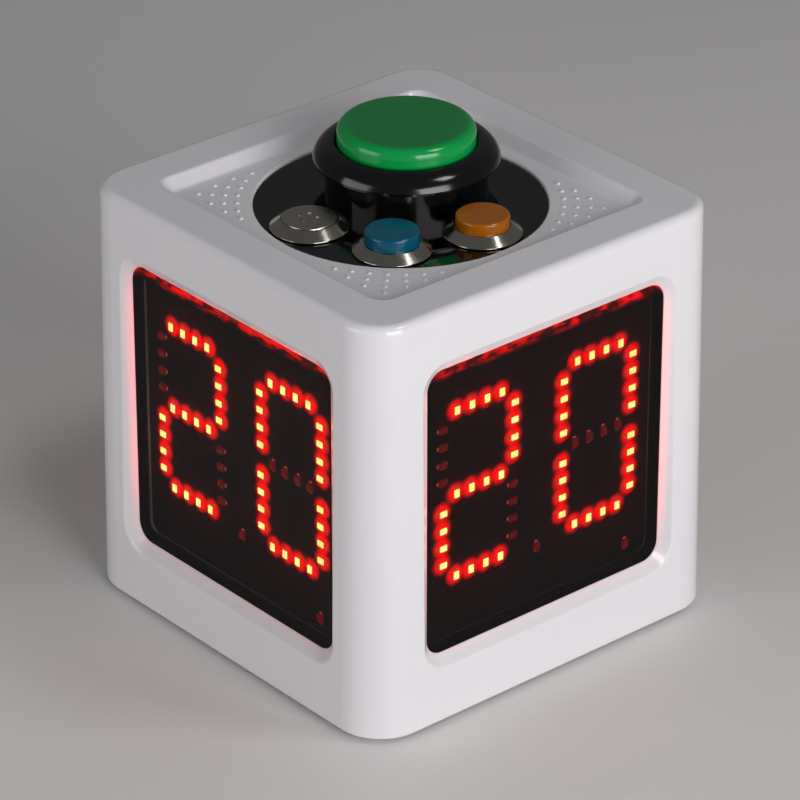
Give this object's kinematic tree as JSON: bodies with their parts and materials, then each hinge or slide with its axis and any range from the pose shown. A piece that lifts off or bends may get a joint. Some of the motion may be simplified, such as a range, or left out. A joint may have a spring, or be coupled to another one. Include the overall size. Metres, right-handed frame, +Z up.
{
  "type": "chess clock",
  "caption": "Cube-shaped game clock with a tinted digit display on each side, a large domed push button and small metal push buttons on top.",
  "frame": {"origin": "centre of the cube's footprint, on the plane that the rubber feet stand on", "axes": "+Z up through the middle of the cube, -Y out of the front side, +X out of the right side"},
  "size_m": [0.1128, 0.1128, 0.1242],
  "materials": {
    "case_white": "glossy moulded ABS",
    "window_tint": "dark red tinted acrylic",
    "cover_black": "fine textured ABS",
    "foot_rubber": "soft rubber",
    "screw_steel": "zinc plated",
    "display_pcb": "black solder mask",
    "led_lit": "lit red lamp",
    "led_unlit": "unlit red lamp",
    "connector_white": "moulded nylon",
    "plate_black": "polished black acrylic",
    "bezel_black": "glossy black ABS",
    "cap_green": "translucent green polycarbonate",
    "diffuser_white": "milky polycarbonate",
    "spring_steel": "bright wire",
    "holder_black": "moulded nylon",
    "lamp_clear": "clear lamp",
    "switch_plastic": "phenolic",
    "tappet_red": "moulded acetal",
    "button_steel": "turned stainless steel",
    "key_steel": "turned and engraved stainless steel",
    "key_blue": "translucent blue polycarbonate",
    "key_orange": "translucent amber polycarbonate",
    "main_pcb": "green solder mask",
    "chip_black": "epoxy",
    "buzzer_black": "moulded case",
    "can_aluminium": "drawn can",
    "socket_steel": "plated shell",
    "cell_wrap": "shrink sleeve",
    "contact_brass": "nickel plated",
    "ribbon_grey": "grey vinyl",
    "lead_black": "vinyl sleeve"
  },
  "bodies": {
    "case": {"housing": "case_white", "window_front": "window_tint", "window_right": "window_tint", "window_back": "window_tint", "window_left": "window_tint", "base_cover": "cover_black", "feet": "foot_rubber", "base_screws": "screw_steel", "plate_screws": "screw_steel", "display_screws": "screw_steel", "board_screws": "screw_steel", "display_board_front": "display_pcb", "leds_lit_front": "led_lit", "leds_unlit_front": "led_unlit", "display_board_right": "display_pcb", "leds_lit_right": "led_lit", "leds_unlit_right": "led_unlit", "display_board_back": "display_pcb", "leds_lit_back": "led_lit", "leds_unlit_back": "led_unlit", "display_board_left": "display_pcb", "leds_lit_left": "led_lit", "leds_unlit_left": "led_unlit", "display_plugs": "connector_white", "top_plate": "plate_black", "main_collar": "bezel_black", "main_bezel": "bezel_black", "main_nut": "bezel_black", "main_spring": "spring_steel", "lamp_holder": "holder_black", "main_lamp": "lamp_clear", "switch_body": "switch_plastic", "steel_bezel": "button_steel", "steel_spring": "spring_steel", "blue_bezel": "button_steel", "blue_spring": "spring_steel", "orange_bezel": "button_steel", "orange_spring": "spring_steel", "button_gaskets": "foot_rubber", "button_nuts": "button_steel", "button_inserts": "holder_black", "main_board": "main_pcb", "driver_chips": "chip_black", "board_headers": "connector_white", "buzzer": "buzzer_black", "capacitors": "can_aluminium", "charging_socket": "socket_steel", "cell_cradle": "holder_black", "battery_cell": "cell_wrap", "cell_contacts": "contact_brass", "ribbon_cables": "ribbon_grey", "switch_leads": "lead_black"},
    "main_button": {"main_cap": "cap_green", "main_stem": "diffuser_white"},
    "switch_lever": {"switch_lever": "spring_steel"},
    "switch_tappet": {"switch_tappet": "tappet_red"},
    "steel_button": {"steel_key": "key_steel"},
    "blue_button": {"blue_key": "key_blue"},
    "orange_button": {"orange_key": "key_orange"}
  },
  "joints": [
    {"name": "main_button_press", "type": "slide", "parent": "case", "child": "main_button", "axis": [0, 0, -1], "range_m": [0, 0.0035], "stiffness_N_per_m": 600, "springref_m": -0.002, "deforming": ["main_spring"]},
    {"name": "switch_lever_turn", "type": "hinge", "parent": "case", "child": "switch_lever", "pos_m": [-0.00625, 0.0086, 0.082], "axis": [0, 1, 0], "range_deg": [0, 16.4]},
    {"name": "switch_tappet_slide", "type": "slide", "parent": "case", "child": "switch_tappet", "axis": [0, 0, -1], "range_m": [0, 0.00096]},
    {"name": "steel_button_press", "type": "slide", "parent": "case", "child": "steel_button", "axis": [0, 0, -1], "range_m": [0, 0.0018], "stiffness_N_per_m": 800, "springref_m": -0.001, "deforming": ["steel_spring"]},
    {"name": "blue_button_press", "type": "slide", "parent": "case", "child": "blue_button", "axis": [0, 0, -1], "range_m": [0, 0.0018], "stiffness_N_per_m": 800, "springref_m": -0.001, "deforming": ["blue_spring"]},
    {"name": "orange_button_press", "type": "slide", "parent": "case", "child": "orange_button", "axis": [0, 0, -1], "range_m": [0, 0.0018], "stiffness_N_per_m": 800, "springref_m": -0.001, "deforming": ["orange_spring"]}
  ],
  "couplings": [
    {"joint": "switch_lever_turn", "follows": "main_button_press", "rad_per_m": 81.282},
    {"joint": "switch_tappet_slide", "follows": "main_button_press", "ratio": 0.27143}
  ]
}
